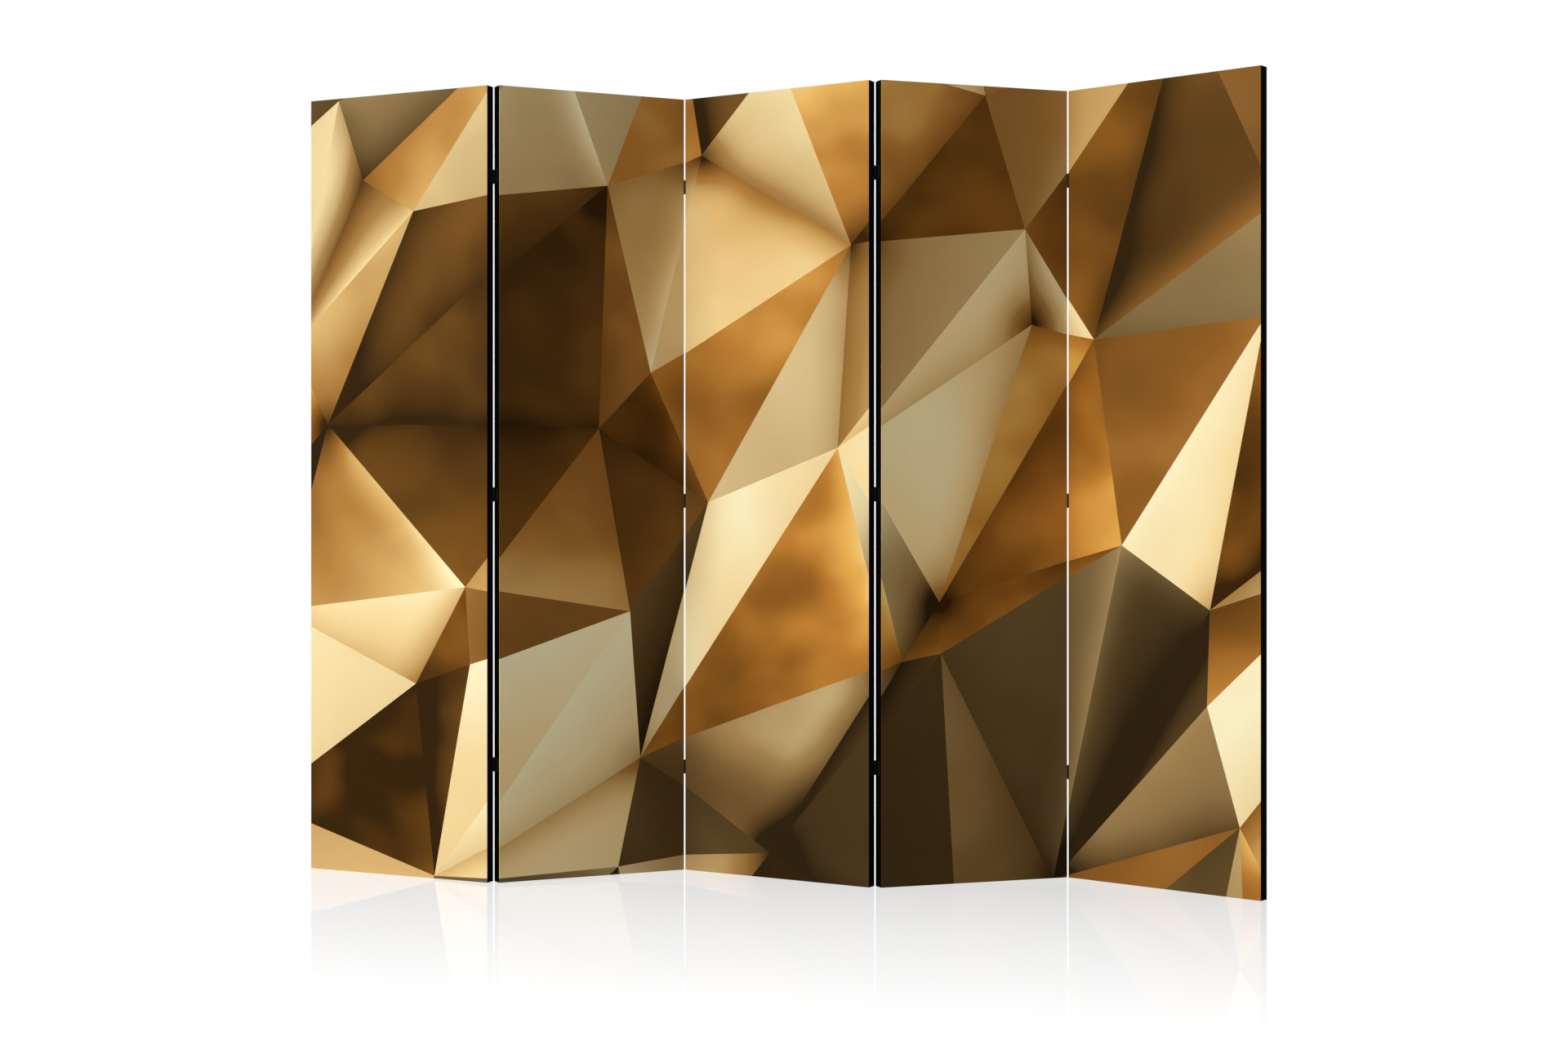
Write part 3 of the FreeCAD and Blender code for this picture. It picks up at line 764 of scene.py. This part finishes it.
# The shell's corners: the front, its copy one thickness inside, and the section's rings carried round the
# rim, square at the corners. The first ring is the front's own rim and the last one is the copy's.
def shellPoints(front, out, deep):
    spread = front.local[front.rim][None] + front.out[None] * out[:, None, None]
    depths = np.broadcast_to(deep[:, None], spread.shape[:2])
    band = np.stack([spread[..., 0], depths, spread[..., 1]], 2)
    face = np.stack([front.local[:, 0], np.zeros(len(front.local)), front.local[:, 1]], 1)
    inner = face + (0, canvasSize["thickness"], 0)
    size, columns = len(face), len(front.rim)
    rings = 2 * size + np.arange((len(out) - 2) * columns).reshape(-1, columns)
    rings = np.concatenate([front.rim[None], rings, front.rim[None] + size])
    return np.concatenate([face, inner, band[1:-1].reshape(-1, 3)]), rings


# The value at this share of the way from low to high.
def spanned(part, low, high):
    return low + part * (high - low)


# Bake map: the front's two halves side by side at full size, and the band round the edge and the inside in
# what is left.
def bakeMap(front, ring, length):
    gap = canvasSize["bakeGap"]
    x, z, width, height = front.x, front.z, front.width, front.height
    lift = front.isUpper[:, None, None] * (-(width + gap), height / 2)
    half = np.stack([x, z], 1)[front.triangles] - lift
    halves = 2 * (width + gap) + gap
    wayEnd = np.append(front.way[1:], front.around)
    ways = np.stack([front.way, front.way, wayEnd, wayEnd], 1)[None] / front.around
    lengths, ways = np.broadcast_arrays(length[ring] / length[-1], ways)
    band = np.stack([spanned(lengths, halves + gap, 1 - 2 * gap), spanned(ways, gap, 1 - gap)], -1)
    inside = np.stack([spanned(x / width, gap, halves - 2 * gap),
                       spanned(z / height, height / 2 + 3 * gap, 1 - 2 * gap)], 1)
    inside = inside[front.triangles[:, ::-1]]
    return np.concatenate([(half + gap).reshape(-1, 2), band.reshape(-1, 2), inside.reshape(-1, 2)])


# The facet's own numbers at each corner of the front's triangles. They are linear over the facet, so each
# is shared out by the areas that the corner makes with the facet's sides.
def frontNumbers(front):
    corners = facets["spots"][facets["triangles"][front.facet]]
    first, second = corners[:, 1] - corners[:, 0], corners[:, 2] - corners[:, 0]
    area = cross(first, second)[:, None]
    offset = front.flat[front.triangles] - corners[:, :1]
    one = cross(offset, second[:, None]) / area
    two = cross(first[:, None], offset) / area
    shares = np.stack([1 - one - two, one, two], 2)
    return {
        "facetTone": shares @ facets["tone"][front.facet],
        "facetSheen": shares @ facets["sheen"][front.facet],
        "sideDistance": shares * facets["distance"][front.facet][:, None],
        "sideCrease": np.repeat(facets["crease"][front.facet][:, None], 3, 1),
        "hollowCorner": np.repeat(facets["hollow"][front.facet][:, None], 3, 1),
    }


# One canvas as a closed shell: the front's triangles, the band of quads round them, and the front's
# triangles once more, turned round, one thickness inside.
def makeCanvas(panel, cut):
    front = Front(panel, cut)
    out, deep, length, fromFront = canvasSection(panel.depth)
    points, rings = shellPoints(front, out, deep)
    here = np.arange(len(front.rim))
    there = np.roll(here, -1)
    # A quad's corners lie on one ring and the next, in one column and the next.
    ring = np.arange(len(out) - 1)[:, None, None] + np.array([0, 1, 1, 0])
    column = np.stack([here, here, there, there], 1)[None]
    quads = rings[ring, column].reshape(-1, 4)
    innerTriangles = front.triangles[:, ::-1] + len(front.flat)
    faces = front.triangles.tolist() + quads.tolist() + innerTriangles.tolist()
    # The print ends where the front edge's arc meets the black side, and the cloth is raw inside.
    printed, black, raw = range(3)
    arcs, step = canvasSize["arcSteps"], np.arange(len(out) - 1)
    bandMaterial = np.select([step < arcs, step <= rawEdge], [printed, black], raw)
    materialOf = np.concatenate([
        np.full(len(front.triangles), printed),
        np.repeat(bandMaterial, len(front.rim)),
        np.full(len(innerTriangles), raw),
    ])
    piece = addPiece(f"{panel.name}_canvas", panel.toFrame(points), faces,
                     [printedCanvas, blackCanvas, rawCanvas], materialOf)

    # Cloth map: metres on the flat print, carried on past the front's outline.
    unrolled = front.flat[front.rim][column] + front.out[column] * fromFront[ring][..., None]
    addMap(piece, "cloth", np.concatenate([
        front.flat[front.triangles].reshape(-1, 2), unrolled.reshape(-1, 2),
        front.flat[front.triangles[:, ::-1]].reshape(-1, 2)]))
    addMap(piece, "OFBake", bakeMap(front, ring, length))

    # The arcs beyond a side of the rim keep that side's numbers, and what lies further round needs none.
    start, end = front.rimCorners()
    onArcs = np.tile(np.stack([start, start, end, end], 1).ravel(), arcs)
    rest = quads.size - len(onArcs) + innerTriangles.size
    for name, value in frontNumbers(front).items():
        value = value.reshape(-1, 3)
        addCorners(piece, name, np.concatenate([value, value[onArcs], np.zeros((rest, 3))]))

    wrap = 2 * (panel.depth + canvasSize["turnover"])
    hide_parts(f"{panel.name}_printed_canvas")
    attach(piece, panel.name)
    panel.width + wrap
    panel.height + wrap
    return piece


cutFront = cutFronts()
canvases = [makeCanvas(panel, cutFront) for panel in panels]
print("canvases made:", [len(piece.data.polygons) for piece in canvases])


# Linings

# The two openings of the wooden frame, as left, right, low and high. The stiles are as wide as the rails.
def openings(panel):
    rail = {name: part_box(f"{panel.name}_{name}_rail") for name in ("bottom", "middle", "top")}
    low, middle, top = ((rail[name][0].z, rail[name][1].z) for name in ("bottom", "middle", "top"))
    side = middle[1] - middle[0]
    return [(side, panel.width - side, low[1], middle[0]), (side, panel.width - side, middle[1], top[0])]


# How far the lining hangs into the frame: over each opening a product of two arches, with a few soft folds.
def liningSag(panel, x, z):
    acrossPower, upPower = lining["archPowers"]
    folds = 1
    for acrossWaves, upWaves, panelStep in lining["foldWaves"]:
        folds = folds * np.sin(acrossWaves * x + upWaves * z + panelStep * panel.number)
    sag = np.zeros(x.shape)
    for left, right, low, high in openings(panel):
        u = np.clip((x - left) / (right - left), 0, 1)
        v = np.clip((z - low) / (high - low), 0, 1)
        arch = (4 * u * (1 - u)) ** acrossPower * (4 * v * (1 - v)) ** upPower
        sag += arch * (1 + lining["foldDepth"] * folds)
    return sag * lining["sag"]


# The lining's edge draws in between two staples, by the square of a sine, and less the further inwards.
def drawnIn(panel, x, z):
    inset, band = lining["inset"], lining["drawnBand"]
    fromEdge = np.minimum(np.minimum(x, panel.width - x), np.minimum(z, panel.height - z)) - inset
    drawn = lining["drawn"] * np.exp(-fromEdge / lining["drawnReach"])
    upSides = np.sin((z - lining["firstUp"]) * math.pi / pitchUp) ** 2
    alongEnds = np.sin((x - lining["firstAcross"]) * math.pi / pitchAcross) ** 2
    fromMiddle, fromCentre = panel.width / 2 - x, panel.height / 2 - z
    sideways = np.sign(fromMiddle) * (np.abs(fromMiddle) > panel.width / 2 - inset - band)
    upwards = np.sign(fromCentre) * (np.abs(fromCentre) > panel.height / 2 - inset - band)
    return x + sideways * drawn * upSides, z + upwards * drawn * alongEnds


# One lining as a closed thin sheet: a grid as deep as the panel less the sag, its copy one thickness out,
# and a rim between them.
def makeLining(panel):
    inset, thick = lining["inset"], lining["thickness"]
    width, height = panel.width - 2 * inset, panel.height - 2 * inset
    u = np.linspace(0, 1, int(width / lining["step"]) + 1)
    v = np.linspace(0, 1, int(height / lining["step"]) + 1)
    u, v = np.meshgrid(u, v)
    x, z = drawnIn(panel, inset + u * width, inset + v * height)
    inside = np.stack([x, panel.depth - liningSag(panel, x, z), z], 2).reshape(-1, 3)
    outside = inside + (0, thick, 0)
    size = len(inside)
    ids = np.arange(size).reshape(x.shape)
    grid = np.stack([ids[:-1, :-1], ids[:-1, 1:], ids[1:, 1:], ids[1:, :-1]], 2).reshape(-1, 4)
    rim = np.concatenate([ids[0, :-1], ids[:-1, -1], ids[-1, :0:-1], ids[:0:-1, 0]])
    after = np.roll(rim, -1)
    side = np.stack([rim, rim + size, after + size, after], 1)
    faces = np.concatenate([grid, grid[:, ::-1] + size, side])
    points = panel.toFrame(np.concatenate([inside, outside]))
    piece = addPiece(f"{panel.name}_lining", points, faces.tolist(), [liningCloth])
    piece.data.shade_smooth()
    flat = np.stack([u * width, v * height], 2).reshape(-1, 2)
    addMap(piece, "cloth", np.concatenate([flat, flat])[faces.ravel()])
    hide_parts(f"{panel.name}_back_lining")
    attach(piece, panel.name)
    panel.width - 2 * inset
    panel.height - 2 * inset
    return piece


linings = [makeLining(panel) for panel in panels]
print("linings made:", [len(piece.data.polygons) for piece in linings])


# Frames, staples and hinges

pine = {
    "pale": "#d9b27c",
    "dark": "#b98548",
    "streak": "#8f6030",
    "waves": (9, 0.7),  # of the grain to a metre, across it and along it
    "bends": (1.3, 3.0, 0.5, 0.4),  # scale, detail, roughness and distortion
    "rings": 46,
    "ringPower": 1.6,
    "streakWaves": 60,
    "streaks": (1.0, 2.0, 0.6),
    "streakFrom": 0.52,
    "streakGain": 1.6,
    "rough": (0.5, 0.2),  # plain and with the streaks
    "gloss": 0.35,
    "ringHeight": 0.4,  # as a share of a streak's
    "bump": (0.0002, 0.4),
}


# Planed pine: growth rings bent by noise, cut lengthwise, with fine dark streaks. The grain runs up a stile
# and along a rail, so the pattern is turned with the panel and drawn out along the piece.
def makePine(panel, isRail):
    finish = Finish(f"pine {panel.number} {'rail' if isRail else 'stile'}")
    across, along = pine["waves"]
    own = finish.scaled(finish.place(), (1, 1, 1), -panel.heading)
    grain = finish.scaled(own, (along, across, across) if isRail else (across, across, along))
    rings = (finish.noise(grain, *pine["bends"]) * pine["rings"]).sine() * 0.5 + 0.5
    streakWaves = pine["streakWaves"]
    streaks = finish.noise(finish.scaled(grain, (streakWaves, streakWaves, streakWaves)), *pine["streaks"])
    colour = finish.mixed(rings ** pine["ringPower"], paint(pine["pale"]), paint(pine["dark"]))
    streaked = (streaks - pine["streakFrom"]).above() * pine["streakGain"]
    plain, withStreaks = pine["rough"]
    return finish.done(finish.surface({
        "Base Color": finish.mixed(streaked, colour, paint(pine["streak"])),
        "Roughness": plain + streaks * withStreaks,
        "Specular IOR Level": pine["gloss"],
        "Normal": finish.bump(rings * pine["ringHeight"] + streaks, *pine["bump"]),
    }))


powderCoat = {
    "colour": "#0b0b0c",
    "worn": "#303032",
    "peel": (2600.0, 2.0, 0.5),  # scale, detail and roughness
    "wear": (420.0, 4.0, 0.7),
    "wearFrom": 0.66,
    "wearGain": 9,
    "rough": (0.42, 0.2, 0.1),  # plain, with the peel and without the coat
    "gloss": 0.3,
    "wornMetal": 0.6,
    "bump": (0.00004, 0.5),
}


# Black powder coat: a fine orange peel, with small worn spots, paler, smoother and metallic.
def makeHingeCoat():
    finish = Finish("black hinge coat")
    place = finish.place()
    peel = finish.noise(place, *powderCoat["peel"])
    worn = finish.noise(place, *powderCoat["wear"])
    bare = ((worn - powderCoat["wearFrom"]).above() * powderCoat["wearGain"]).belowOne()
    plain, withPeel, withoutCoat = powderCoat["rough"]
    return finish.done(finish.surface({
        "Base Color": finish.mixed(bare, paint(powderCoat["colour"]), paint(powderCoat["worn"])),
        "Roughness": plain + peel * withPeel - bare * withoutCoat,
        "Specular IOR Level": powderCoat["gloss"],
        "Metallic": bare * powderCoat["wornMetal"],
        "Normal": finish.bump(peel, *powderCoat["bump"]),
    }))


metals = {
    "dark pin steel": {"dark": "#2a2a2c", "pale": "#4a4a4e", "rough": 0.38, "metal": 1.0},
    "black phosphate": {"dark": "#19191b", "pale": "#2b2b2e", "rough": 0.5, "metal": 0.7},
    "zinc wire": {"dark": "#9a9a9c", "pale": "#c9cacc", "rough": 0.32, "metal": 1.0},
}
drawnMetal = {
    "bandWaves": (900, 900, 90),  # to a metre: the bands run upright, as the pins do
    "bands": (1.0, 2.0, 0.6),  # scale, detail and roughness
    "grains": (3200.0, 3.0, 0.7),
    "grainRoughness": 0.25,
    "bump": (0.00002, 0.4),
}


# Drawn metal: long bands, a colour between two greys, and fine grains.
def makeMetal(name):
    finish = Finish(name)
    look = metals[name]
    place = finish.place()
    bands = finish.noise(finish.scaled(place, drawnMetal["bandWaves"]), *drawnMetal["bands"])
    grains = finish.noise(place, *drawnMetal["grains"])
    return finish.done(finish.surface({
        "Base Color": finish.mixed(bands, paint(look["dark"]), paint(look["pale"])),
        "Roughness": look["rough"] + (grains - 0.5) * drawnMetal["grainRoughness"],
        "Metallic": look["metal"],
        "Normal": finish.bump(grains, *drawnMetal["bump"]),
    }))


def wear(node, material):
    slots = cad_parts[node].data.materials
    slots.clear()
    slots.append(material)


hingeCoat = makeHingeCoat()
pinSteel = makeMetal("dark pin steel")
screwFinish = makeMetal("black phosphate")
stapleWire = makeMetal("zinc wire")
for panel in panels:
    stileWood, railWood = makePine(panel, False), makePine(panel, True)
    for part in stiles:
        wear(f"{panel.name}_{part}", stileWood)
    for part in rails:
        wear(f"{panel.name}_{part}", railWood)
    wear(f"{panel.name}_staples", stapleWire)
    wear(f"{panel.name}_hinge_screws", screwFinish)
for hinge in hingeNumbers:
    wear(f"hinge_{hinge}_left_leaves", hingeCoat)
    wear(f"hinge_{hinge}_right_leaves", hingeCoat)
    wear(f"hinge_{hinge}_pins", pinSteel)
print("frames, staples and hinges finished")


# Studio

studio = {
    "floorSide": 60,
    "ambient": 0.375,
    "keyAway": 16,  # metres from the screen to the lamp
    "keyTurn": 52,  # degrees to the left of straight on
    "keyHeight": 1.8,
    "keySide": 6,
    "keyPower": 2440,
    "floorGlow": 0.93,  # the floor as the camera sees it: this much white, and a grey that takes the shadow
    "floorGrey": 0.2,
    "floorWhite": 0.85,  # the floor as the screen sees it
    "reflection": 0.3,  # share of the floor's mirror image beside the screen
    "fade": 1.42,  # metres over which the mirror image dies away
    "mirrorRough": 0.03,
}


# Pale floor: for the camera it is white and takes a soft shadow and a mirror image that dies away with the
# distance from the screen. For all other rays it is plain white.
def makeFloor():
    finish = Finish("studio floor")
    x, y, _ = finish.place().parts()
    beyond = (x.size() - cadBox[1].x).above()
    away = (beyond * beyond + y * y) ** 0.5
    mirror = (1 - away / studio["fade"]).above() * studio["reflection"]
    matt = finish.node("ShaderNodeBsdfDiffuse", {}, {"Color": grey(studio["floorGrey"])})
    glow = finish.node("ShaderNodeEmission", {}, {"Color": grey(1), "Strength": studio["floorGlow"]})
    gloss = finish.node("ShaderNodeBsdfGlossy", {}, {"Color": grey(1), "Roughness": studio["mirrorRough"]})
    seen = finish.blended(mirror, finish.node("ShaderNodeAddShader", {}, {0: matt, 1: glow}), gloss)
    plain = finish.node("ShaderNodeBsdfDiffuse", {}, {"Color": grey(studio["floorWhite"])})
    isCamera = finish.node("ShaderNodeLightPath", {}, {}, "Is Camera Ray")
    surface = finish.done(finish.blended(isCamera, plain, seen))
    side = studio["floorSide"] / 2
    points = np.array([(-side, -side, 0), (side, -side, 0), (side, side, 0), (-side, side, 0)], float)
    addPiece("studio_floor", points, [(0, 1, 2, 3)], [surface])


# The world gives even light. The camera and glossy rays see it white.
def makeWorld():
    finish = Finish("studio", bpy.data.worlds)
    isCamera = finish.node("ShaderNodeLightPath", {}, {}, "Is Camera Ray")
    isGlossy = finish.node("ShaderNodeLightPath", {}, {}, "Is Glossy Ray")
    light = finish.node("ShaderNodeBackground", {}, {"Color": grey(1), "Strength": studio["ambient"]})
    white = finish.node("ShaderNodeBackground", {}, {"Color": grey(1), "Strength": 1.0})
    seen = finish.blended(isCamera.above(isGlossy), light, white)
    bpy.context.scene.world = finish.done(seen, "ShaderNodeOutputWorld")


def addSoftbox(name, place, aim, side, power):
    lamp = bpy.data.lights.new(name, "AREA")
    lamp.shape = "SQUARE"
    lamp.size = side
    lamp.energy = power
    box = bpy.data.objects.new(name, lamp)
    box.location = place
    box.rotation_euler = (Vector(aim) - Vector(place)).to_track_quat("-Z", "Y").to_euler()
    bpy.context.scene.collection.objects.link(box)


makeFloor()
makeWorld()
keyTurn, keyAway = math.radians(studio["keyTurn"]), studio["keyAway"]
keyPlace = (-math.sin(keyTurn) * keyAway, -math.cos(keyTurn) * keyAway, studio["keyHeight"])
addSoftbox("key softbox", keyPlace, (0, 0, panelHeight / 2), studio["keySide"], studio["keyPower"])

photoCamera = {
    "place": (0.62267, -5.20834, 0.82194),
    "turn": 12.5743,  # degrees to the left of straight on
    "focalPixels": 2935.1,
    "frame": (1920, 1280),
    "sensor": 36.0,
    "shift": (0.16146, -0.01331),  # the photo is a crop: its vanishing point lies left of its middle
}
cameraData = bpy.data.cameras.new("photo camera")
cameraData.sensor_width = photoCamera["sensor"]
cameraData.lens = photoCamera["focalPixels"] * photoCamera["sensor"] / photoCamera["frame"][0]
cameraData.shift_x, cameraData.shift_y = photoCamera["shift"]
camera = bpy.data.objects.new("photo camera", cameraData)
camera.location = photoCamera["place"]
camera.rotation_euler = (math.radians(90), 0, math.radians(photoCamera["turn"]))
bpy.context.scene.collection.objects.link(camera)
bpy.context.scene.camera = camera
bpy.context.scene.view_settings.view_transform = "Standard"
print("studio set up")
